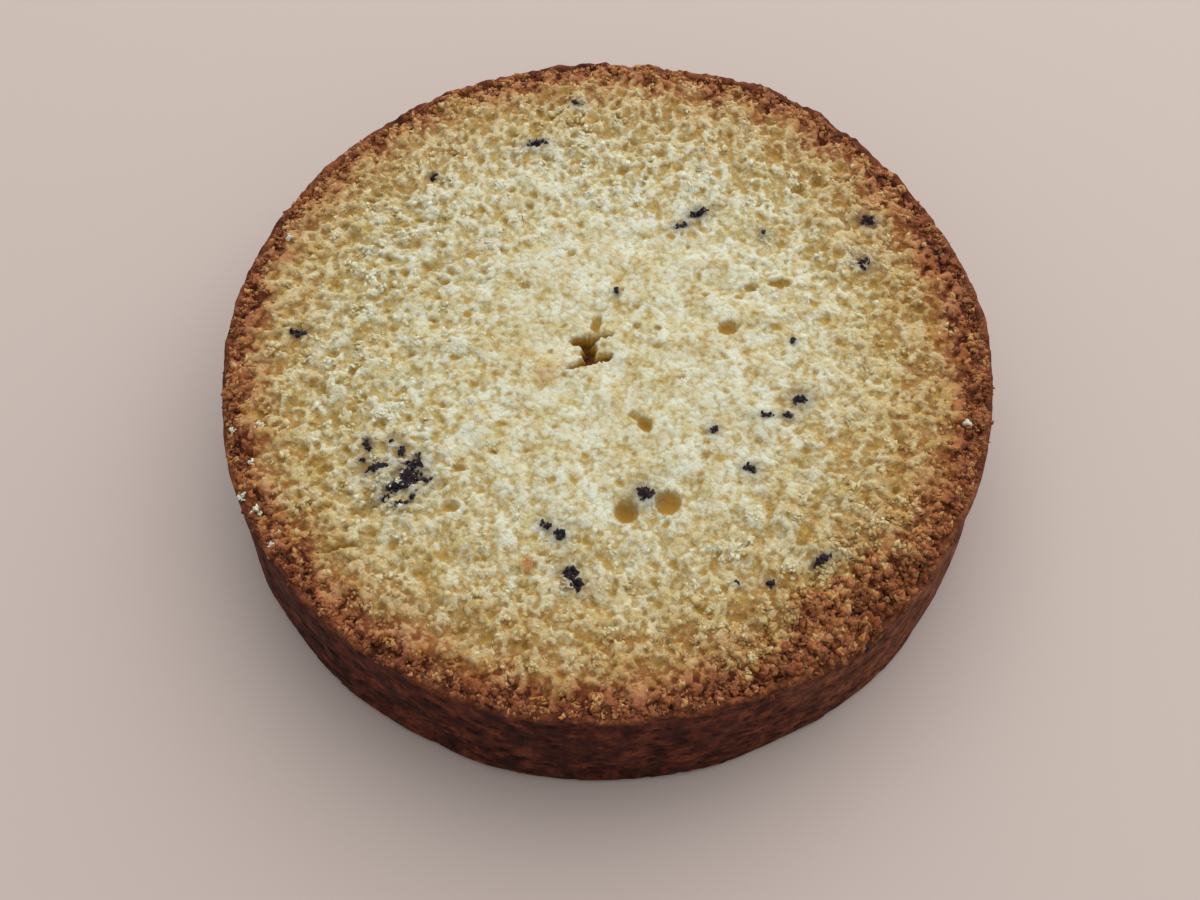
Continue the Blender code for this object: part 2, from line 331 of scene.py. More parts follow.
# Shares of the band's width, and how brown each part gets
RING_SHARE = 0.52
RING_BROWN = 0.72
# Painted light: the ring is made paler towards the back
RING_BACK_PAINTED_LIGHT = 0.22
TAIL_SHARE = 1.6
TAIL_FALL = 1.4
TAIL_BROWN = 0.30
SHOULDER_BLOTCH = (7 * MM, 43)
SHOULDER_MOTTLE = (3 * MM, 44)
SHOULDER_FLECK = (3.5 * MM, 45)
SHOULDER_BROWN = 0.70
SHOULDER_RING_BROWN = 0.28
# x, y and radius in millimetres of one toasted spot in the pale crumb
TOASTED_SPOT = (-18.7, -59.4, 1.7)
TOASTED_SPOT_BROWN = 0.45
SCRAPE_BROWN = 0.16


def browning(x, y):
    """0 in the pale middle, rising to 1 in the crust."""
    angle = np.degrees(np.arctan2(y, x))
    width = np.interp(angle, BAND_ANGLES, BAND_WIDTHS) * MM
    inward = inward_of_rim(x, y) + BAND_WANDER_DEPTH * swell(x, y, *BAND_WANDER)
    inward = np.clip(inward + BAND_FRAY_DEPTH * swell(x, y, *BAND_FRAY), 0.0, None)
    ring = np.exp(-((inward / (RING_SHARE * width)) ** 2))
    tail = np.exp(-((inward / (TAIL_SHARE * width)) ** TAIL_FALL))
    ragged = 0.55 * swell(x, y, *SHOULDER_BLOTCH) + 0.55 * swell(x, y, *SHOULDER_MOTTLE)
    uncut = shoulder(x, y)
    patchy = smooth(2.3 * uncut + 1.2 * ragged - 0.10) * smooth(3.0 * uncut)
    patchy *= 0.85 + 0.4 * swell(x, y, *SHOULDER_FLECK)
    spot_x, spot_y, spot_radius = (value * MM for value in TOASTED_SPOT)
    away = np.hypot(x - spot_x, y - spot_y) / spot_radius
    spot = TOASTED_SPOT_BROWN * np.exp(-(away ** 2))
    for *oval, _ in SCRAPES:
        spot = np.maximum(spot, SCRAPE_BROWN * np.exp(-(oval_distance(x, y, *oval) ** 2)))
    # Painted light: less browning in the ring towards the back
    ring_brown = RING_BROWN - RING_BACK_PAINTED_LIGHT * smooth(y / RIM_RADIUS)
    cut_band = ring_brown * ring + TAIL_BROWN * tail
    band = np.maximum(cut_band, SHOULDER_BROWN * patchy + SHOULDER_RING_BROWN * ring)
    return np.clip(np.maximum(band, spot), 0.0, 1.0)


# %% Cookie stain
COOKIE_FRAY = (0.9 * MM, 51)
COOKIE_LOBES = (2.0 * MM, 52)
DUST_PATCH = (1.4 * MM, 53)
# How grey the crumb is at a piece, and how many of the piece's sizes the dust reaches
DUST_GREY = 0.80
DUST_REACH = 2.0


def cookie_marks(x, y):
    """How solid the cookie is here, and how far its dust greys the crumb around."""
    solid = np.zeros(np.shape(x))
    grey = np.zeros(np.shape(x))
    ragged = 0.5 * swell(x, y, *COOKIE_FRAY) + 0.35 * swell(x, y, *COOKIE_LOBES)
    for *oval, _ in COOKIES:
        away = oval_distance(x, y, *oval)
        solid = np.maximum(solid, smooth(1.6 - 1.9 * (away + ragged)))
        grey = np.maximum(grey, np.exp(-((away / DUST_REACH) ** 2)))
    return solid, DUST_GREY * grey * (0.8 + 0.4 * swell(x, y, *DUST_PATCH))


# %% [markdown]
# ## Crumb relief
# In the middle the knife pressed the crumb flat. Towards the rim it is open: fluffy islands with
# hollows between them, clumps, and small pits. Three sizes of noise make the fluff, and two of
# them are turned against the third, so that no grid shows.

# %% Crumb relief
PRESSED_RADIUS = 24 * MM
PRESSED_FADE = 54 * MM
PRESSED_EDGE = (30 * MM, 61)
PRESSED_EDGE_WANDER = 12 * MM
SHOULDER_COARSE = 0.8
COARSEST = 1.7
TURN_COSINE = 0.8
TURN_SINE = 0.6
FLUFF_LARGE = (2.9 * MM, 62)
FLUFF_MIDDLE = (1.7 * MM, 63)
FLUFF_SMALL = (1.15 * MM, 64)
CLUMP = (5.0 * MM, 65)
CLUMP_HEIGHT = 0.65
SMALL_PIT = (6.0 * MM, 69)
# Each is a value in the pressed middle and its growth in open crumb. Heights are in millimetres
ISLAND_HEIGHT = (0.22, 0.55)
FLUFF_HEIGHT = (0.12, 0.5)
SINKING = (0.20, 0.35)
DENT_DEPTH = (0.5, 0.5)
PIT_SHARE = (0.30, 0.40)
HOLLOW_SHARE = (0.55, 0.45)
# A small pit's radius in its cell, and its growth from one pit to the next
SMALL_PIT_RADIUS = (0.08, 0.18)


def grown(pair, share):
    """The first number, plus this share of the second."""
    return pair[0] + pair[1] * share


def coarseness(x, y):
    """0 where the knife pressed the crumb flat in the middle, 1 where it is open and lumpy."""
    reach = np.hypot(x, y) + PRESSED_EDGE_WANDER * swell(x, y, *PRESSED_EDGE)
    open_crumb = smooth((reach - PRESSED_RADIUS) / PRESSED_FADE)
    return np.clip(open_crumb + SHOULDER_COARSE * shoulder(x, y), 0.0, COARSEST)


def crumb_relief(x, y):
    """The crumb's height above the form, how hollow it is, and how much of a small pit."""
    coarse = coarseness(x, y)
    turned = TURN_COSINE * x + TURN_SINE * y, TURN_COSINE * y - TURN_SINE * x
    fluff = 0.34 * swell(*turned, *FLUFF_LARGE) + 0.50 * swell(x, y, *FLUFF_MIDDLE)
    fluff += 0.42 * swell(*turned, *FLUFF_SMALL)
    clump = swell(x, y, *CLUMP)
    island = smooth((fluff + 0.38 - 0.10 * coarse) / 0.45)
    rough = island * grown(ISLAND_HEIGHT, coarse)
    rough += grown(FLUFF_HEIGHT, coarse) * np.clip(fluff, -0.3, 0.6)
    rough += CLUMP_HEIGHT * coarse * clump
    rough -= grown(SINKING, coarse)
    pit, pit_number = cells(x + 1.2 * MM * fluff, y + 0.8 * MM * clump, *SMALL_PIT)
    bowl = smooth(1.7 - pit / grown(SMALL_PIT_RADIUS, pit_number))
    dent = (pit_number < grown(PIT_SHARE, np.clip(coarse, 0, 1))) * bowl
    hollow = (1.0 - island) * grown(HOLLOW_SHARE, np.clip(coarse, 0, 1))
    return (rough - grown(DENT_DEPTH, coarse) * dent) * MM, hollow, dent


# %% The finished surface and its marks
# How much of the relief a named pit wipes away, and how much painted hollow shade it gets
PIT_WIPES = 0.9
PIT_HOLLOW = 0.8
# A small pit gets the painted shade of a pit this deep
SMALL_PIT_SHADE = 1.8 * MM
# Pits take painted pit shade from the first depth on, and their darkest shade near the second
SHADED_FROM = 0.25 * MM
SHADED_START = 0.16
SHADED_FULLY = 8 * MM
CURD_LARGE = (2.8 * MM, 71)
CURD_SMALL = (1.3 * MM, 72)
# Painted light: the crumb is paler towards the back
BACK_PAINTED_LIGHT = 0.25
# Browned crumb hides the dust
BROWN_HIDES_DUST = 1.6


def cut_surface(x, y):
    """Height of the finished cut face, how hollow it is, and how deep in a pit."""
    relief, hollow, dent = crumb_relief(x, y)
    depth, calm = pit_depth(x, y)
    height = form_height(x, y) + relief * (1.0 - PIT_WIPES * calm) - depth
    hollow = hollow * (1.0 - calm) + PIT_HOLLOW * calm * (depth > 0)
    return height, hollow, np.maximum(depth, SMALL_PIT_SHADE * dent * (1.0 - calm))


def marks_at(x, y, hollow, depth):
    """The numbers that the sponge's material reads."""
    solid, grey = cookie_marks(x, y)
    brown = browning(x, y)
    curd = 0.5 + 0.50 * swell(x, y, *CURD_LARGE) + 0.30 * swell(x, y, *CURD_SMALL)
    # Painted light: paler towards the back
    curd += BACK_PAINTED_LIGHT * smooth(y / RIM_RADIUS)
    return {
        "browning": brown,
        "hollow": hollow,
        "deep": smooth(depth / SHADED_FULLY + SHADED_START * (depth > SHADED_FROM)),
        "cookie": solid,
        "stain": grey * np.clip(1.0 - BROWN_HIDES_DUST * brown, 0.0, 1.0),
        "tone": np.clip(curd, 0.0, 1.0),
    }


# %% [markdown]
# ## The cut face
# The cut face is a disc of dense crumb. A grid primitive has even squares, and pulling the square
# into a circle keeps them nearly even, which a fan of triangles would not. Then every vertex is
# lifted to the crumb's height, and the edge is extruded down into the crust and closed with one
# face, so that the piece is a closed body.

# %% Helpers for edit mode
def begin():
    """Leave edit mode and drop the selection, so that an operator acts on one new thing only."""
    if bpy.context.mode != "OBJECT":
        bpy.ops.object.mode_set(mode="OBJECT")
    bpy.ops.object.select_all(action="DESELECT")


def edit():
    """Enter edit mode on the active object."""
    bpy.ops.object.mode_set(mode="EDIT")


def done():
    """Leave edit mode, so that the mesh can be read and written."""
    bpy.ops.object.mode_set(mode="OBJECT")


def select_nothing(kind):
    """Drop the selection in the mesh, to pick vertices, edges or faces in code."""
    edit()
    bpy.ops.mesh.select_mode(type=kind)
    bpy.ops.mesh.select_all(action="DESELECT")
    done()


def named(name):
    """Name the new active object and its mesh."""
    thing = bpy.context.active_object
    thing.name = name
    thing.data.name = name
    return thing


def read_points(thing):
    """All vertex places as rows of x, y and z."""
    flat = np.empty(len(thing.data.vertices) * 3)
    thing.data.vertices.foreach_get("co", flat)
    return flat.reshape(-1, 3)


def write_points(thing, points):
    """Put every vertex where its row says."""
    thing.data.vertices.foreach_set("co", np.ascontiguousarray(points).ravel())
    thing.data.update()


def paint(thing, name, values):
    """Keep one number for each vertex, for the materials to read."""
    layer = thing.data.attributes.new(name, "FLOAT", "POINT")
    layer.data.foreach_set("value", np.ascontiguousarray(values, dtype=np.float32))


# %% Cut face: the disc
FACE_SQUARES = 304
CRUST = 1.3 * MM
FACE_SKIRT = 3.0 * MM

begin()
bpy.ops.mesh.primitive_grid_add(x_subdivisions=FACE_SQUARES, y_subdivisions=FACE_SQUARES, size=2.0)
cut_face = named("cut_face")


def square_to_disc(x, y):
    """Where a point of the square from -1 to 1 lies on the unit disc, ring for ring."""
    reach = np.maximum(np.abs(x), np.abs(y))
    sideways = np.abs(x) > np.abs(y)
    wide, tall = np.where(x == 0, 1.0, x), np.where(y == 0, 1.0, y)
    across = (math.pi / 4) * (y / wide) + math.pi * (x < 0)
    upward = math.pi / 2 - (math.pi / 4) * (x / tall) + math.pi * (y < 0)
    angle = np.where(sideways, across, upward)
    return reach * np.cos(angle), reach * np.sin(angle)


points = read_points(cut_face)
disc_x, disc_y = square_to_disc(points[:, 0], points[:, 1])
angle = np.arctan2(disc_y, disc_x)
reach = RIM_RADIUS - CRUST + outline(angle) * np.hypot(disc_x, disc_y)
points[:, 0] = disc_x * reach
points[:, 1] = disc_y * reach
points[:, 2], hollow, depth = cut_surface(points[:, 0], points[:, 1])
write_points(cut_face, points)
print("cut face:", len(points), "vertices")

# %% Cut face: close it below
select_nothing("EDGE")
edit()
bpy.ops.mesh.select_non_manifold()
bpy.ops.mesh.extrude_region_move(TRANSFORM_OT_translate={"value": (0, 0, -FACE_SKIRT)})
bpy.ops.mesh.edge_face_add()
bpy.ops.mesh.select_all(action="SELECT")
bpy.ops.mesh.normals_make_consistent(inside=False)
done()

spare_below = len(cut_face.data.vertices) - len(points)
points = read_points(cut_face)
# The skirt and the face below get the full painted shade of a hollow
hollow = np.concatenate([hollow, np.ones(spare_below)])
depth = np.concatenate([depth, np.zeros(spare_below)])
for name, values in marks_at(points[:, 0], points[:, 1], hollow, depth).items():
    paint(cut_face, name, values)
bpy.ops.object.shade_smooth()
print("cut face closed:", len(cut_face.data.polygons), "faces")

# %% Where the cut face really is
ABOVE = 2 * HEIGHT
EDGE_DIP = 0.25 * MM
bpy.context.view_layer.update()


def lie_on_cut(x, y, rise):
    """Places this far above the cut face's mesh, or above the form beyond its edge."""
    height = form_height(x, y) - EDGE_DIP
    for row, place in enumerate(zip(x, y)):
        hit, spot, _, _ = cut_face.ray_cast(Vector((*place, ABOVE)), Vector((0.0, 0.0, -1.0)))
        if hit:
            height[row] = spot.z
    return np.stack([x, y, height + rise], axis=1)


# %% [markdown]
# ## The crust
# The crust is the skin that baked against the tin: upright, dimpled, with small pores drawn out
# along the wall. A cylinder is subdivided into fine rings, shaped by the same outline, and given a
# rim by an inset and a step down inside, where the cut face sits.

# %% Crust: a finely ringed cylinder
AROUND = 860
RINGS = 50
RIM_STEP = 4.0 * MM

begin()
bpy.ops.mesh.primitive_cylinder_add(
    vertices=AROUND, radius=BASE_RADIUS, depth=HEIGHT, location=(0, 0, HEIGHT / 2)
)
crust = named("crust")
bpy.ops.object.transform_apply(location=True, rotation=True, scale=True)
select_nothing("EDGE")
points = read_points(crust)
for edge in crust.data.edges:
    first, second = edge.vertices
    edge.select = bool(abs(points[first, 2] - points[second, 2]) > HEIGHT / 2)
edit()
bpy.ops.mesh.subdivide(number_cuts=RINGS - 1)
done()
print("crust rings:", len(crust.data.vertices) // AROUND)

# %% Crust: wall relief
WALL_TURN = 2 * math.pi * BASE_RADIUS
WANDER = (2.0 * MM, 81)
WANDER_DEPTH = 0.8 * MM
PATCH = (13 * MM, 82)
# Pores and creases are squeezed this much in height, so they lie along the wall
PORE = (3.3 * MM, 83)
PORE_SQUEEZE = 1.7
CREASE = (7.0 * MM, 84)
CREASE_SQUEEZE = 3.4
CREASE_SLANT = 0.6
SWELLING = (9 * MM, 85)
DIMPLE = (1.7 * MM, 86)
RIM_BITE = (2.2 * MM, 87)
RIM_BITE_DEPTH = 0.35 * MM
# Heights in millimetres
SWELLING_HEIGHT = 0.40
DIMPLE_HEIGHT = 0.10
PORE_DEPTH = 0.45
# The relief fades towards the foot and the rim within these heights
FOOT_FADE = 3 * MM
RIM_FADE = 2.0 * MM


def on_wall(kind, run, height, length, seed):
    """Noise of this kind that meets itself: a whole number of lengths fits around the wall."""
    around = int(round(WALL_TURN / length))
    return kind(run * around * length / WALL_TURN, height, length, seed, around)


def wall_relief(angle, height):
    """How far the crust stands out here, and how deep in a pore it is, from 0 to 1."""
    run = angle * BASE_RADIUS
    wander = WANDER_DEPTH * on_wall(swell, run, height, *WANDER)
    patch = 0.6 * on_wall(swell, run, height, *PATCH) + 0.4 * (1 - 2 * height / HEIGHT)
    near, number = on_wall(cells, run + wander, PORE_SQUEEZE * height + wander, *PORE)
    size = 0.12 + 1.6 * (1.0 - number)
    pores = (number > 0.74 - 0.25 * patch) * smooth(1.5 - near / size)
    slanted = run + CREASE_SLANT * height
    near, number = on_wall(cells, slanted, CREASE_SQUEEZE * height + wander, *CREASE)
    creases = (number > 0.72 - 0.2 * patch) * smooth(1.4 - near / 0.26)
    pore = np.clip(pores + creases, 0.0, 1.0)
    swelling = SWELLING_HEIGHT * on_wall(swell, run, height, *SWELLING)
    swelling += DIMPLE_HEIGHT * on_wall(swell, run, height, *DIMPLE)
    return (swelling - PORE_DEPTH * pore) * MM, pore


points = read_points(crust)
angle = np.arctan2(points[:, 1], points[:, 0])
share = points[:, 2] / HEIGHT
rim_height = form_height(RIM_RADIUS * np.cos(angle), RIM_RADIUS * np.sin(angle))
rim_height += RIM_BITE_DEPTH * on_wall(swell, angle * BASE_RADIUS, 0 * angle, *RIM_BITE)
height = share * rim_height
relief, pore = wall_relief(angle, height)
fade = smooth(height / FOOT_FADE) * smooth((rim_height - height) / RIM_FADE + 0.15)
tuck = 1.0 - np.clip(height / FOOT_ROUNDING, 0.0, 1.0)
foot = FOOT_ROUNDING * (1.0 - np.sqrt(1.0 - tuck * tuck))
radius = BASE_RADIUS + (RIM_RADIUS - BASE_RADIUS) * share + outline(angle) + relief * fade - foot
points[:, 0] = radius * np.cos(angle)
points[:, 1] = radius * np.sin(angle)
points[:, 2] = height
write_points(crust, points)
wall_count = len(points)
wall_pore = pore * fade

# %% Crust: the rim and the step inside it
# The insets' widths, in crust thicknesses, and the lumps on them, with heights in millimetres
RIM_INSETS = (0.6, 0.9)
CREST_LUMP = (1.5 * MM, 88)
CREST_HEIGHT = (0.25, 0.55)
# The skin is lighter along the rim, and one side of the wall is painted lighter, as if lit
RIM_TAN = 0.9
RIM_TAN_WIDTH = 2.5 * MM
LIT_SIDE = math.radians(-30)
LIT_SIDE_HALF_ANGLE = math.radians(55)

select_nothing("FACE")
for face in crust.data.polygons:
    face.select = face.normal.z > 0.9 and len(face.vertices) == AROUND
edit()
for width in RIM_INSETS:
    bpy.ops.mesh.inset(thickness=CRUST * width, depth=0.0)
bpy.ops.mesh.extrude_region_move(TRANSFORM_OT_translate={"value": (0, 0, -RIM_STEP)})
done()
points = read_points(crust)
spare = len(points) - wall_count
crest = points[wall_count : wall_count + len(RIM_INSETS) * AROUND]
crest[:, 2] += grown(CREST_HEIGHT, swell(crest[:, 0], crest[:, 1], *CREST_LUMP)) * MM
write_points(crust, points)
paint(crust, "pore", np.concatenate([wall_pore, np.zeros(spare)]))
# Painted light on one side of the wall
rim_tan_and_lit_side = nearness(np.arctan2(points[:, 1], points[:, 0]), LIT_SIDE, LIT_SIDE_HALF_ANGLE)
rim_tan = RIM_TAN * smooth((height - rim_height) / RIM_TAN_WIDTH + 1.0)
rim_tan_and_lit_side[:wall_count] = np.maximum(rim_tan_and_lit_side[:wall_count], rim_tan)
rim_tan_and_lit_side[wall_count:] = RIM_TAN
paint(crust, "tan", rim_tan_and_lit_side)
bpy.ops.object.shade_smooth()
print("crust:", len(crust.data.polygons), "faces")

# %% [markdown]
# ## One crumb
# A loose crumb is a small irregular lump. It is modelled once in a few shapes, from an icosphere
# whose vertices are pushed about at random. It has 20 faces, and the finest crumbs have 8, because
# thousands are needed.

# %% Crumb shapes
CRUMB_SEEDS = range(12)
CRUMB_PUSH = 0.5
TINY_SEEDS = range(40, 52)
TINY_PUSH = 0.4
SHARD_SEEDS = range(20, 28)
SHARD_PUSH = 0.75


def push_about(seed, push):
    """Push the active shape's vertices about, and return its points and faces."""
    shape = named("crumb_shape")
    edit()
    bpy.ops.mesh.select_all(action="SELECT")
    bpy.ops.transform.vertex_random(offset=push, uniform=0.7, normal=0.3, seed=seed)
    done()
    points = read_points(shape)
    faces = np.array([face.vertices[:] for face in shape.data.polygons])
    bpy.data.objects.remove(shape, do_unlink=True)
    return points, faces


def model_crumb(seed, push):
    """A round lump of 20 faces."""
    begin()
    bpy.ops.mesh.primitive_ico_sphere_add(subdivisions=1, radius=1.0)
    return push_about(seed, push)


def model_tiny_crumb(seed, push):
    """A lump of only 8 faces: a cone whose base ring is lifted off the middle of its base."""
    begin()
    bpy.ops.mesh.primitive_cone_add(vertices=4, radius1=1.0, depth=2.0, end_fill_type="TRIFAN")
    shape = bpy.context.active_object
    select_nothing("VERT")
    for vertex in shape.data.vertices:
        vertex.select = vertex.co.z < 0.0 and vertex.co.xy.length > 0.5
    edit()
    bpy.ops.transform.translate(value=(0.0, 0.0, 1.0))
    done()
    return push_about(seed, push)


crumb_shapes = [model_crumb(seed, CRUMB_PUSH) for seed in CRUMB_SEEDS]
tiny_shapes = [model_tiny_crumb(seed, TINY_PUSH) for seed in TINY_SEEDS]
shard_shapes = [model_crumb(seed, SHARD_PUSH) for seed in SHARD_SEEDS]
print("crumb shapes:", len(crumb_shapes), "of", len(crumb_shapes[0][1]), "faces")
print("tiny shapes:", len(tiny_shapes), "of", len(tiny_shapes[0][1]), "faces")

# %% [markdown]
# ## Scattering
# The crumbs are copied as real mesh and joined by kind. Each copy gets its own turn, size and
# place. Places come from a jittered lattice, which spreads them evenly without piling them up.

# %% Scatter helpers
RIM_CLEAR = 1.8 * MM


def lattice(spacing, seed):
    """Jittered places over the cut face."""
    draw = np.random.RandomState(seed)
    line = np.arange(-RIM_RADIUS, RIM_RADIUS + spacing, spacing)
    x, y = np.meshgrid(line, line)
    x = x.ravel() + draw.uniform(-0.5, 0.5, x.size) * spacing
    y = y.ravel() + draw.uniform(-0.5, 0.5, y.size) * spacing
    inside = inward_of_rim(x, y) > RIM_CLEAR
    return x[inside], y[inside]


def random_turns(draw, count):
    """Random rotations as matrices, from random quaternions."""
    q = draw.normal(size=(count, 4))
    w, x, y, z = (q / np.linalg.norm(q, axis=1, keepdims=True)).T
    rows = [
        [1 - 2 * (y * y + z * z), 2 * (x * y - z * w), 2 * (x * z + y * w)],
        [2 * (x * y + z * w), 1 - 2 * (x * x + z * z), 2 * (y * z - x * w)],
        [2 * (x * z - y * w), 2 * (y * z + x * w), 1 - 2 * (x * x + y * y)],
    ]
    return np.array(rows).transpose(2, 0, 1)


# How golden a crumb's underside is: light gets there only through other crumb
UNDERSIDE = 0.9
UNDERSIDE_TOP = 0.4
STRETCH = (0.55, 1.35)


def scatter(name, shapes, places, sizes, seed, marks):
    """Join one copied shape for each place into a piece, with its marks painted on."""
    draw = np.random.RandomState(seed)
    count = len(places)
    pick = draw.randint(0, len(shapes), count)
    stretch = draw.uniform(*STRETCH, (count, 3)) * sizes[:, None]
    local = np.array([shape[0] for shape in shapes])[pick] * stretch[:, None, :]
    turned = np.einsum("nij,npj->npi", random_turns(draw, count), local)
    points = turned + places[:, None, :]
    faces = shapes[0][1][None] + (np.arange(count) * points.shape[1])[:, None, None]
    mesh = bpy.data.meshes.new(name)
    mesh.from_pydata(points.reshape(-1, 3), [], faces.reshape(-1, 3))
    piece = bpy.data.objects.new(name, mesh)
    bpy.context.scene.collection.objects.link(piece)
    marks = {mark: np.repeat(values, points.shape[1]) for mark, values in marks.items()}
    # Painted shade: a crumb's lower vertices take more of the golden hollow colour
    if "hollow" in marks:
        low = np.clip(UNDERSIDE_TOP - turned[:, :, 2] / sizes[:, None], 0.0, 1.0).ravel()
        marks["hollow"] = np.clip(marks["hollow"] + UNDERSIDE * low, 0.0, 1.0)
    for mark, values in marks.items():
        paint(piece, mark, values)
    begin()
    piece.select_set(True)
    bpy.context.view_layer.objects.active = piece
    bpy.ops.object.shade_smooth()
    print(f"{name}: {count} crumbs, {len(mesh.polygons)} faces")
    return piece


# %% Crumbs on the cut
# The share of heaps that stay pale, how much of the browning they take, and how much others take
PALE_SHARE = 0.12
PALE_TOAST = 0.45
TOAST = (0.7, 1.2)
# Sizes are drawn with this power, so small crumbs are the most
SMALL_MOST = 1.6
# Crumbs lie where dents, named pits and cookies are less than this
MOST_DENT = 0.3
MOST_CALM = 0.4
COOKIE_CLEARS = 0.75
# Crumbs take this share of the painted hollow shade of the cut below them
CRUMB_HOLLOW = 0.7
# Crumbs sink this many sizes deeper where the knife pressed
PRESSED_SINK = 0.4


def toasting(draw, count):
    """How much of the browning around it each heap takes: most of it, but a few stay pale."""
    return np.where(draw.rand(count) < PALE_SHARE, PALE_TOAST, draw.uniform(*TOAST, count))


def crumb_cover(name, shapes, places, seed, sizes, lift, hollows=(0.0, 1.0), tones=(-0.2, 0.2)):
    """Put crumbs at those places where the cut is between two shares of hollow."""
    draw = np.random.RandomState(seed)
    x, y, high, heap = places
    _, hollow, dent = crumb_relief(x, y)
    _, calm = pit_depth(x, y)
    solid, _ = cookie_marks(x, y)
    fits = (hollow >= hollows[0]) & (hollow <= hollows[1]) & (dent < MOST_DENT)
    fits &= (calm < MOST_CALM) & (draw.rand(x.size) > COOKIE_CLEARS * solid)
    toast = toasting(draw, heap.max() + 1)[heap[fits]]
    x, y, high, hollow = x[fits], y[fits], high[fits], hollow[fits]
    coarse = coarseness(x, y)
    size = sizes[0] + (sizes[1] - sizes[0]) * draw.rand(x.size) ** SMALL_MOST
    size = size * (0.8 + 0.3 * coarse) * MM
    marks = marks_at(x, y, CRUMB_HOLLOW * hollow, 0.0 * x)
    marks["cookie"] = 0.0 * x
    marks["browning"] = marks["browning"] * toast
    marks["tone"] = np.clip(marks["tone"] + draw.uniform(*tones, x.size), 0.0, 1.0)
    rise = size * (lift + high - PRESSED_SINK * np.clip(1 - coarse, 0, 1))
    return scatter(name, shapes, lie_on_cut(x, y, rise), size, seed + 1, marks)


# %% Single crumbs
def singles(spacing, seed):
    """Places one by one: x, y, no extra height, and each its own heap."""
    x, y = lattice(spacing, seed)
    return x, y, 0.0 * x, np.arange(x.size)


# Spacing and seed, smallest and largest size in millimetres, and lift in crumb sizes
PALE_PLACES = (2.2 * MM, 101)
PALE_SIZES = (0.45, 0.85)
PALE_LIFT = -0.45
PALE_HOLLOWS = (0.0, 0.30)
FINE_PLACES = (1.5 * MM, 105)
FINE_SIZES = (0.26, 0.48)
FINE_LIFT = -0.3
places = singles(*PALE_PLACES)
pale_crumbs = crumb_cover(
    "pale_crumbs", crumb_shapes, places, PALE_PLACES[1], PALE_SIZES, PALE_LIFT, PALE_HOLLOWS
)
places = singles(*FINE_PLACES)
fine_crumbs = crumb_cover("fine_crumbs", tiny_shapes, places, FINE_PLACES[1], FINE_SIZES, FINE_LIFT)

# %% Heaped crumbs
HEAP_TOP = 0.7
HEAP_CLEAR = 0.3 * MM


def heaps(x, y, count, spread, seed):
    """Heaps of crumbs around places: x, y, how much higher in the middle, and which heap."""
    draw = np.random.RandomState(seed)
    offset = draw.normal(0.0, 1.0, (2, x.size, count))
    high = HEAP_TOP * np.exp(-0.5 * (offset**2).sum(axis=0)).ravel()
    heap = np.repeat(np.arange(x.size), count)
    x = (x[:, None] + spread * offset[0]).ravel()
    y = (y[:, None] + spread * offset[1]).ravel()
    inside = inward_of_rim(x, y) > HEAP_CLEAR
    return x[inside], y[inside], high[inside], heap[inside]


HEAP_PLACES = (5.2 * MM, 103)
HEAP_SHARE = 0.30
# How many crumbs, spread and seed
OPEN_HEAP = (10, 1.1 * MM, 104)
OPEN_SIZES = (0.45, 0.80)
OPEN_LIFT = -0.35
x, y = lattice(*HEAP_PLACES)
chosen = np.random.RandomState(HEAP_PLACES[1]).rand(x.size) < HEAP_SHARE * coarseness(x, y)
places = heaps(x[chosen], y[chosen], *OPEN_HEAP)
heaped_crumbs = crumb_cover(
    "heaped_crumbs", crumb_shapes, places, OPEN_HEAP[2], OPEN_SIZES, OPEN_LIFT, tones=(0.0, 0.4)
)

# %% Stray pale crumbs on the browned rim and among the cookie bits
# x, y and radius in millimetres
STRAY_CRUMBS = (
    (-93.2, -21.7, 1.2), (-87.4, -31.1, 1.0), (-88.9, -40.3, 1.0), (-85.1, -44.1, 1.3),
    (-80.5, -53.3, 1.1), (-86.8, -20.6, 0.9), (90.3, -20.1, 1.1), (-84.5, 36.8, 1.2),
    (-49.9, -33.9, 0.7), (-51.0, -36.6, 0.8), (-48.2, -38.0, 0.6), (-53.0, -38.2, 0.6),
    (-47.0, -35.2, 0.5),
)
# How many crumbs, spread and seed
STRAY_HEAP = (9, 0.45 * MM, 111)
STRAY_SIZE = 0.5
STRAY_TONE = 0.8
stray = np.array(STRAY_CRUMBS) * MM
x, y, high, heap = heaps(stray[:, 0], stray[:, 1], *STRAY_HEAP)
size = STRAY_SIZE * stray[heap, 2]
places = lie_on_cut(x, y, size * (0.3 + 1.2 * high))
marks = {name: 0.0 * x for name in ("browning", "hollow", "deep", "cookie", "stain")}
marks["tone"] = np.full(len(x), STRAY_TONE)
stray_crumbs = scatter("stray_crumbs", crumb_shapes, places, size, 112, marks)

# %% Toasted crumbs along the rim
RIM_HEAPS = 1020
RIM_HEAP_REACH = 2.6
RIM_HEAP_START = 0.35 * MM
SHOULDER_HEAPS = 380
# How many crumbs, spread and seed
TOASTED_HEAP = (7, 0.65 * MM, 108)
TOASTED_SIZES = (0.32, 0.44)
SHOULDER_LARGER = (1.0, 0.7)
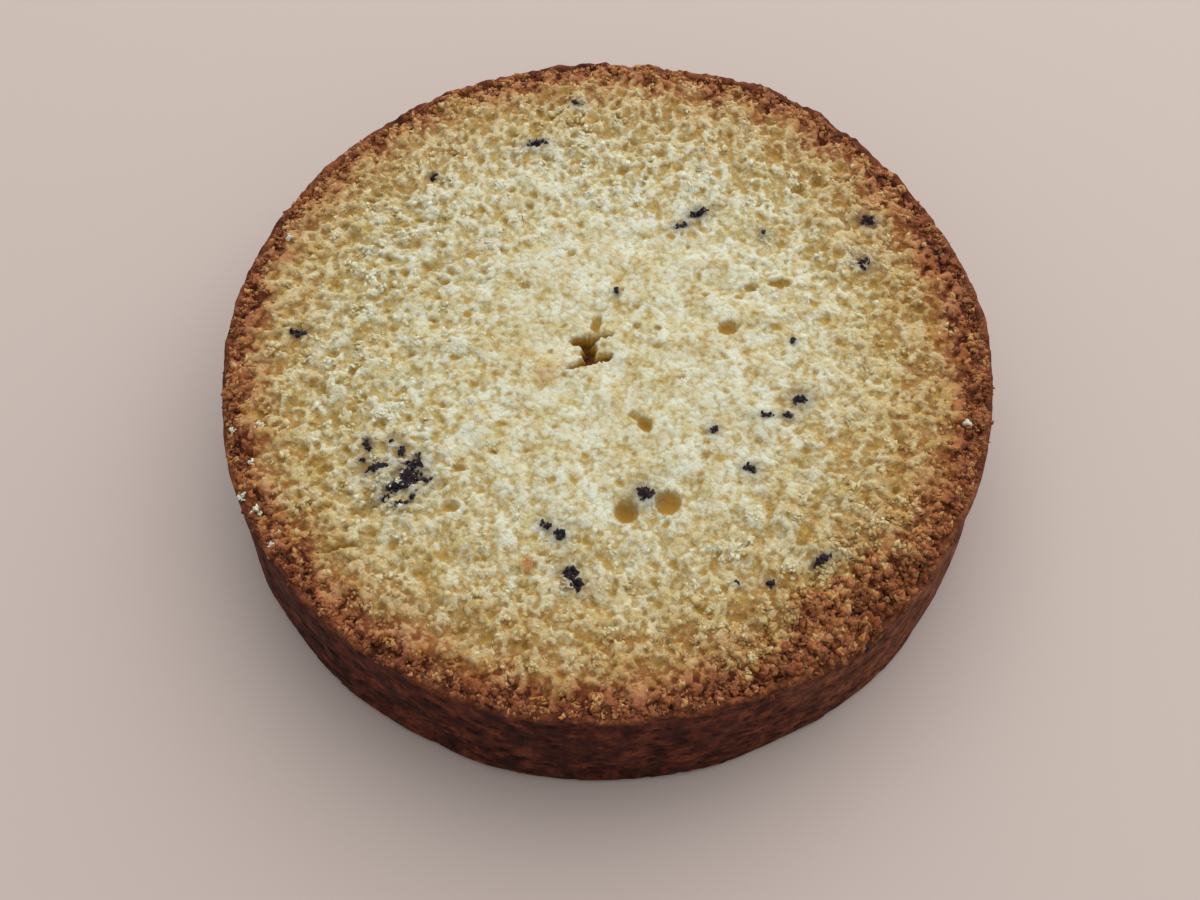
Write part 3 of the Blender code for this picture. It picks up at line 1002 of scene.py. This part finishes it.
# Heaps flatten towards the edge within this distance
EDGE_WIDTH = 2.0 * MM
draw = np.random.RandomState(107)
angle = draw.uniform(-math.pi, math.pi, RIM_HEAPS)
inward = np.abs(draw.normal(0.0, RIM_HEAP_REACH, RIM_HEAPS)) * MM
spread = draw.triangular(-1, 0, 1, SHOULDER_HEAPS) * 0.95
angle = np.concatenate([angle, SHOULDER_ANGLE + SHOULDER_HALF_ANGLE * spread])
inward = np.concatenate([inward, SHOULDER_WIDTH * draw.triangular(0, 0.1, 0.9, SHOULDER_HEAPS)])
radius = RIM_RADIUS + outline(angle) - inward - RIM_HEAP_START
x, y, high, heap = heaps(radius * np.cos(angle), radius * np.sin(angle), *TOASTED_HEAP)
edge = smooth(inward_of_rim(x, y) / EDGE_WIDTH)
_, hollow, _ = crumb_relief(x, y)
size = grown(TOASTED_SIZES, draw.rand(x.size) ** SMALL_MOST)
size = size * grown(SHOULDER_LARGER, shoulder(x, y)) * MM
marks = marks_at(x, y, hollow * 0.5, 0.0 * x)
marks["cookie"] = 0.0 * x
toast = toasting(draw, heap.max() + 1)[heap] * draw.uniform(0.85, 1.1, x.size)
marks["browning"] = np.clip(marks["browning"] * toast, 0.0, 1.0)
marks["tone"] = 0.7 * draw.rand(x.size)
places = lie_on_cut(x, y, size * (0.8 * edge * high - 0.15))
toasted_crumbs = scatter("toasted_crumbs", shard_shapes + crumb_shapes, places, size, 109, marks)

# %% Cookie bits
BIT_SIZES = (0.30, 0.70)
BIT_LIFT = 0.3
draw = np.random.RandomState(109)
rows = []
for place_x, place_y, half_x, half_y, turn, bits in COOKIES:
    cosine, sine = math.cos(math.radians(turn)), math.sin(math.radians(turn))
    for _ in range(bits):
        around = draw.uniform(0, 2 * math.pi)
        away = draw.rand() ** 0.6
        along = half_x * away * math.cos(around)
        across = half_y * away * math.sin(around)
        bit_x = (place_x + along * cosine - across * sine) * MM
        bit_y = (place_y + along * sine + across * cosine) * MM
        rows.append((bit_x, bit_y, draw.uniform(*BIT_SIZES) * (1.15 - 0.5 * away) * MM))
x, y, size = np.array(rows).T
places = lie_on_cut(x, y, size * BIT_LIFT)
cookie_bits = scatter("cookie_bits", shard_shapes, places, size, 110, {"tone": draw.rand(len(rows))})

# %% [markdown]
# ## Finishes
# Sponge is matt and lets light soak in, so its shader has some subsurface light. Its colour comes
# from the painted marks: a ramp takes pale crumb through tan to brown crust, and cookie dust greys
# it. Shade is painted on too: hollows and creases turn golden and darker, because light that bounces
# in a pit picks up the crumb's colour again and again, and pits darken with depth.

# %% Material helpers
def srgb(red, green, blue):
    """A screen colour from 0 to 255 as the linear colour that a shader takes."""
    shares = [value / 255 for value in (red, green, blue)]
    linear = [s / 12.92 if s <= 0.04045 else ((s + 0.055) / 1.055) ** 2.4 for s in shares]
    return (*linear, 1.0)


class Finish:
    """A material with its nodes, built one call at a time."""

    def __init__(self, name):
        self.material = bpy.data.materials.new(name)
        self.material.use_nodes = True
        self.nodes = self.material.node_tree.nodes
        self.links = self.material.node_tree.links
        self.shader = self.nodes["Principled BSDF"]

    def put(self, socket, value):
        """Link a socket, or set its value."""
        if isinstance(value, bpy.types.NodeSocket):
            self.links.new(value, socket)
        else:
            socket.default_value = value

    def mark(self, name):
        """The number painted on the mesh under this name."""
        node = self.nodes.new("ShaderNodeAttribute")
        node.attribute_name = name
        return node.outputs["Fac"]

    def pattern(self, kind, length):
        """A pattern node of this length, fixed to the object, and the object's own places."""
        place = self.nodes.new("ShaderNodeTexCoord").outputs["Object"]
        node = self.nodes.new(kind)
        node.inputs["Scale"].default_value = 1.0 / length
        self.links.new(place, node.inputs["Vector"])
        return node, place

    def grain(self, length, detail=3.0, roughness=0.55):
        """Noise from 0 to 1 with grains of this length."""
        node, _ = self.pattern("ShaderNodeTexNoise", length)
        node.inputs["Detail"].default_value = detail
        node.inputs["Roughness"].default_value = roughness
        return node.outputs["Fac"]

    def creases(self, length, wander):
        """0 in the middle of rounded grains of this length, rising towards the gaps between them."""
        drift, place = self.pattern("ShaderNodeTexNoise", length)
        node, _ = self.pattern("ShaderNodeTexVoronoi", length)
        moved = self.nodes.new("ShaderNodeVectorMath")
        moved.operation = "MULTIPLY_ADD"
        moved.inputs[1].default_value = (wander, wander, wander)
        self.links.new(drift.outputs["Color"], moved.inputs[0])
        self.links.new(place, moved.inputs[2])
        self.links.new(moved.outputs["Vector"], node.inputs["Vector"])
        return node.outputs["Distance"]

    def math(self, operation, *numbers):
        """One sum on numbers."""
        node = self.nodes.new("ShaderNodeMath")
        node.operation = operation
        for socket, number in zip(node.inputs, numbers):
            self.put(socket, number)
        return node.outputs[0]

    def ramp(self, share, stops):
        """Colours along a share from 0 to 1."""
        node = self.nodes.new("ShaderNodeValToRGB")
        elements = node.color_ramp.elements
        while len(elements) < len(stops):
            elements.new(0.5)
        for element, (position, *colour) in zip(elements, stops):
            element.position = position
            element.color = srgb(*colour)
        self.links.new(share, node.inputs["Fac"])
        return node.outputs["Color"]

    def mix(self, share, first, second, blend="MIX"):
        """One colour into another by this share."""
        node = self.nodes.new("ShaderNodeMix")
        node.data_type = "RGBA"
        node.blend_type = blend
        self.put(node.inputs["Factor"], share)
        self.put(node.inputs[6], first)
        self.put(node.inputs[7], second)
        return node.outputs[2]

    def bump(self, height, strength, distance):
        """Fine relief that only the light sees."""
        node = self.nodes.new("ShaderNodeBump")
        node.inputs["Strength"].default_value = strength
        node.inputs["Distance"].default_value = distance
        self.links.new(height, node.inputs["Height"])
        self.links.new(node.outputs["Normal"], self.shader.inputs["Normal"])

    def surface(self, colour, roughness, gloss=0.5):
        """The base colour, and how rough and how glossy it is."""
        values = {"Base Color": colour, "Roughness": roughness, "Specular IOR Level": gloss}
        for name, value in values.items():
            self.put(self.shader.inputs[name], value)

    def wear(self, *pieces):
        """Put this finish on the pieces."""
        for piece in pieces:
            piece.data.materials.clear()
            piece.data.materials.append(self.material)


# %% Sponge crumb
# Each stop is a place from 0 to 1 and a screen colour
TOP_COLOURS = (
    (0.00, 238, 239, 216),
    (0.08, 229, 217, 174),
    (0.22, 214, 182, 128),
    (0.42, 206, 151, 103),
    (0.70, 178, 115, 78),
    (1.00, 146, 86, 58),
)
# Painted shade: the crumb's colours in hollows and creases, golden from bounce light and darker
SHADED_LOW_COLOURS = (
    (0.00, 208, 191, 134),
    (0.10, 192, 158, 96),
    (0.26, 168, 112, 66),
    (0.55, 110, 55, 32),
    (1.00, 68, 30, 20),
)
# Painted shade in pits: golden from bounce light, and darker with depth
PIT_SHADE_COLOURS = ((0.20, 196, 162, 84), (0.55, 182, 136, 50), (1.00, 86, 44, 10))
GOLDEN_CURD = srgb(234, 213, 163)
DUST = srgb(116, 113, 112)
COOKIE_GROUND = srgb(50, 38, 46)
SPECK_LENGTH = 1.3 * MM
GRAIN_LENGTH = 1.6 * MM
GRAIN_WANDER = 1.3 * MM
FINE_GRAIN = 0.8 * MM
GRAIN_RELIEF = 0.6 * MM
# How far red, green and blue light travel in sponge, against each other
SOAK_COLOURS = (1.0, 0.85, 0.55)


def sponge_finish(name, soak, depth, rough, crease_shade):
    """Sponge crumb, coloured by the painted marks. Light soaks in this much and this deep."""
    sponge = Finish(name)
    deep, browned = sponge.mark("deep"), sponge.mark("browning")
    speck = sponge.math("SUBTRACT", sponge.grain(SPECK_LENGTH, 4.0, 0.7), 0.5)
    brown = sponge.math("MULTIPLY_ADD", speck, 0.30, browned)
    tops = sponge.ramp(brown, TOP_COLOURS)
    lows = sponge.ramp(brown, SHADED_LOW_COLOURS)
    crease = sponge.math("SUBTRACT", sponge.creases(GRAIN_LENGTH, GRAIN_WANDER), 0.50)
    # Painted shade: hollows and creases take the shaded colours, with random specks mixed in
    shade_share = sponge.math("MULTIPLY_ADD", speck, 2.2, sponge.mark("hollow"))
    shade_share = sponge.math("MULTIPLY_ADD", crease, crease_shade, shade_share)
    crumb = sponge.mix(shade_share, tops, lows)
    gold = sponge.mix(1.0, crumb, GOLDEN_CURD, "MULTIPLY")
    crumb = sponge.mix(sponge.math("SUBTRACT", 0.85, sponge.mark("tone")), crumb, gold)
    # Painted pit shade, only in the pale crumb
    pale_here = sponge.math("SUBTRACT", 1.0, sponge.math("MULTIPLY", browned, 2.0))
    pit_shade = sponge.math("MULTIPLY", sponge.math("MULTIPLY", deep, 3.0), pale_here)
    crumb = sponge.mix(pit_shade, crumb, sponge.ramp(deep, PIT_SHADE_COLOURS))
    crumb = sponge.mix(sponge.mark("stain"), crumb, DUST)
    crumb = sponge.mix(sponge.mark("cookie"), crumb, COOKIE_GROUND)
    sponge.surface(crumb, roughness=0.92, gloss=0.2)
    sponge.shader.inputs["Subsurface Weight"].default_value = soak
    sponge.shader.inputs["Subsurface Radius"].default_value = SOAK_COLOURS
    sponge.shader.inputs["Subsurface Scale"].default_value = depth
    if rough:
        rounded = sponge.math("MULTIPLY", crease, -0.9)
        fine = sponge.grain(FINE_GRAIN, 5.0, 0.72)
        sponge.bump(sponge.math("ADD", rounded, fine), rough, GRAIN_RELIEF)
    return sponge


ground_crumb = sponge_finish("sponge", soak=0.3, depth=1.0 * MM, rough=0.9, crease_shade=1.5)
ground_crumb.wear(cut_face)
loose_crumb = sponge_finish("loose_crumb", soak=0.6, depth=0.6 * MM, rough=0.0, crease_shade=0.5)
loose_crumb.wear(pale_crumbs, fine_crumbs, heaped_crumbs, stray_crumbs, toasted_crumbs)

# %% [markdown]
# ## Crust and cookie
# The crust is a thin hard skin, mottled by the tin. It is darkest where it met the metal and
# lighter at the rim. One side of the wall is painted lighter, as if lit, and its pores are painted
# darker, as shade. The cookie is nearly black, with a hint of violet.

# %% Browned crust
# The tan colours go along the rim, and on one side of the wall as painted light
DARK_WALL = ((0.34, 36, 9, 5), (0.50, 82, 32, 19), (0.66, 128, 62, 38))
TAN_WALL = ((0.34, 84, 40, 24), (0.50, 132, 74, 45), (0.66, 172, 108, 68))
FLECKS = ((0.40, 140, 140, 140), (0.60, 255, 255, 255))
PORE_SHADE = srgb(38, 17, 12)
skin = Finish("browned crust")
mottle = skin.grain(6 * MM, 5.0, 0.65)
tan_share = skin.math("MULTIPLY", skin.mark("tan"), 0.8)
wall = skin.mix(tan_share, skin.ramp(mottle, DARK_WALL), skin.ramp(mottle, TAN_WALL))
# Painted shade in the wall's pores and creases
wall = skin.mix(skin.math("MULTIPLY", skin.mark("pore"), 0.85), wall, PORE_SHADE)
wall = skin.mix(0.6, wall, skin.ramp(skin.grain(1.2 * MM), FLECKS), "MULTIPLY")
skin.surface(wall, roughness=0.7, gloss=0.12)
skin.bump(skin.grain(0.8 * MM, 4.0, 0.7), strength=0.6, distance=0.3 * MM)
skin.wear(crust)

# %% Cookie
COOKIE_COLOURS = ((0.35, 18, 15, 22), (0.65, 64, 47, 56))
cookie = Finish("chocolate cookie")
dark = cookie.ramp(cookie.grain(0.8 * MM), COOKIE_COLOURS)
cookie.surface(dark, roughness=0.8, gloss=0.3)
cookie.bump(cookie.grain(0.4 * MM), strength=0.6, distance=0.2 * MM)
cookie.wear(cookie_bits)

# %% [markdown]
# ## Flat maps
# Other programs keep colours in a picture that is wrapped around the mesh, so each piece gets a
# flat map with room for every face. The cut face is seen from above. The wall is unrolled and laid
# down in four strips. A crumb's faces lie side by side, two triangles to a small square.

# %% Flat map helpers
def corner_points(piece):
    """The vertex number of each face corner."""
    vertex = np.empty(len(piece.data.loops), dtype=np.int32)
    piece.data.loops.foreach_get("vertex_index", vertex)
    return vertex


def lay_flat(piece, corners):
    """Give the piece a map with these two numbers for each face corner."""
    layer = piece.data.uv_layers.new(name="OFBake")
    layer.uv.foreach_set("vector", np.ascontiguousarray(corners, dtype=np.float32).ravel())


def lay_wide_faces(piece, corners, flat, spots, size):
    """Lay the faces of many corners, which close a piece below, down small in free spots."""
    vertex = corner_points(piece)
    wide = [face for face in piece.data.polygons if len(face.vertices) > 4]
    for face, spot in zip(wide, spots):
        own = slice(face.loop_start, face.loop_start + face.loop_total)
        corners[own] = np.array(spot) + size * flat[vertex[own]]


# %% Flat maps: the cut face from above
SKIRT_SPREAD = 1.02
DISC_ON_MAP = 0.485

points = read_points(cut_face)
flat = points[:, :2] / np.hypot(points[:, 0], points[:, 1]).max()
flat[-spare_below:] *= SKIRT_SPREAD
corners = 0.5 + DISC_ON_MAP * flat[corner_points(cut_face)]
lay_wide_faces(cut_face, corners, flat, spots=[(0.94, 0.94)], size=0.05)
lay_flat(cut_face, corners)

# %% Flat maps: the wall in strips
STRIPS = 4
STRIP_HEIGHT = 0.19
STEP_RINGS = (4 * MM, 6 * MM, 10 * MM)
LAID_HEIGHT = HEIGHT + 11 * MM

points = read_points(crust)
flat = points[:, :2] / BASE_RADIUS
up = points[:, 2].copy()
up[wall_count:] = HEIGHT + np.repeat(STEP_RINGS, AROUND)
vertex = corner_points(crust)
centres = np.array([face.center[:2] for face in crust.data.polygons])
sizes = np.array([face.loop_total for face in crust.data.polygons])
middle = np.repeat(np.arctan2(centres[:, 1], centres[:, 0]) % (2 * math.pi), sizes)
strip = np.floor(middle / (2 * math.pi / STRIPS))
angle = np.arctan2(points[vertex, 1], points[vertex, 0])
near = turn_between(angle, middle) + middle
across = near / (2 * math.pi / STRIPS) - strip
upward = STRIP_HEIGHT * (strip + 0.03 + 0.92 * up[vertex] / LAID_HEIGHT)
corners = np.stack([0.02 + 0.96 * across, upward], axis=1)
lay_wide_faces(crust, corners, flat, spots=[(0.12, 0.88), (0.36, 0.88)], size=0.1)
lay_flat(crust, corners)

# %% Flat maps: crumbs, two triangles to a square
loose_pieces = [pale_crumbs, fine_crumbs, heaped_crumbs, stray_crumbs, toasted_crumbs, cookie_bits]
PAIR = np.array([
    [(0.06, 0.06), (0.80, 0.06), (0.06, 0.80)],
    [(0.94, 0.94), (0.20, 0.94), (0.94, 0.20)],
])

for piece in loose_pieces:
    number = np.arange(len(piece.data.polygons))
    squares = math.ceil(math.sqrt(len(number) / 2))
    place = np.stack([number // 2 % squares, number // 2 // squares], axis=1)
    lay_flat(piece, (place[:, None, :] + PAIR[number % 2]) / squares)
    print(f"{piece.name}: {squares} squares a side")

# %% [markdown]
# ## Hand the pieces over
# The bulge at the back right puts the middle of the cake's box a little off its axis, and the
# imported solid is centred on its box, so the pieces are moved the same. Every piece rides on the
# cake's one body. The cut face and the crust stand for the solid, and the crumbs and cookie bits
# are fused to them.

# %% Centre, ride and replace
OFF_AXIS = np.array([0.29, 0.22, 0.0]) * MM
for piece in [cut_face, crust] + loose_pieces:
    write_points(piece, read_points(piece) - OFF_AXIS)
    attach(piece, "root")
    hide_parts("cake")

# %% [markdown]
# ## Floor, light and camera
# The light is a soft window behind the cake and to its right, so the wall that faces us is in
# shade. The camera looks down at 60 degrees.

# %% Floor
FLOOR_SIZE = 3.0
FLOOR_COLOUR = srgb(206, 190, 181)
begin()
bpy.ops.mesh.primitive_plane_add(size=FLOOR_SIZE, location=(0, 0, 0))
floor = named("floor")
ground = Finish("pale floor")
ground.surface(FLOOR_COLOUR, roughness=0.8)
ground.wear(floor)

# %% Light
ROOM_COLOUR = (0.98, 0.98, 1.0, 1.0)
ROOM_STRENGTH = 0.48
WINDOW_PLACE = (0.35, 0.75, 1.15)
WINDOW_WIDTH = 2.4
WINDOW_POWER = 23.0
world = bpy.data.worlds.new("room")
bpy.context.scene.world = world
world.use_nodes = True
background = world.node_tree.nodes["Background"]
background.inputs["Color"].default_value = ROOM_COLOUR
background.inputs["Strength"].default_value = ROOM_STRENGTH


def soft_light(name, place, width, power):
    """A square soft light that faces the cake."""
    begin()
    bpy.ops.object.light_add(type="AREA", location=place)
    light = bpy.context.active_object
    light.name = name
    light.data.size = width
    light.data.energy = power
    light.rotation_euler = Vector(place).to_track_quat("Z", "Y").to_euler()


soft_light("window", WINDOW_PLACE, WINDOW_WIDTH, WINDOW_POWER)

# %% Camera
TILT = math.radians(60.6)
AIM = Vector((-1.93 * MM, -5.68 * MM, 0.0))
DISTANCE = 453.2 * MM
LENS = 49.5
SENSOR = 36.0
begin()
bpy.ops.object.camera_add(
    location=AIM + DISTANCE * Vector((0.0, -math.cos(TILT), math.sin(TILT))),
    rotation=(math.pi / 2 - TILT, 0.0, 0.0),
)
camera = bpy.context.active_object
camera.data.lens = LENS
camera.data.sensor_width = SENSOR
bpy.context.scene.camera = camera
bpy.context.scene.view_settings.view_transform = "Standard"
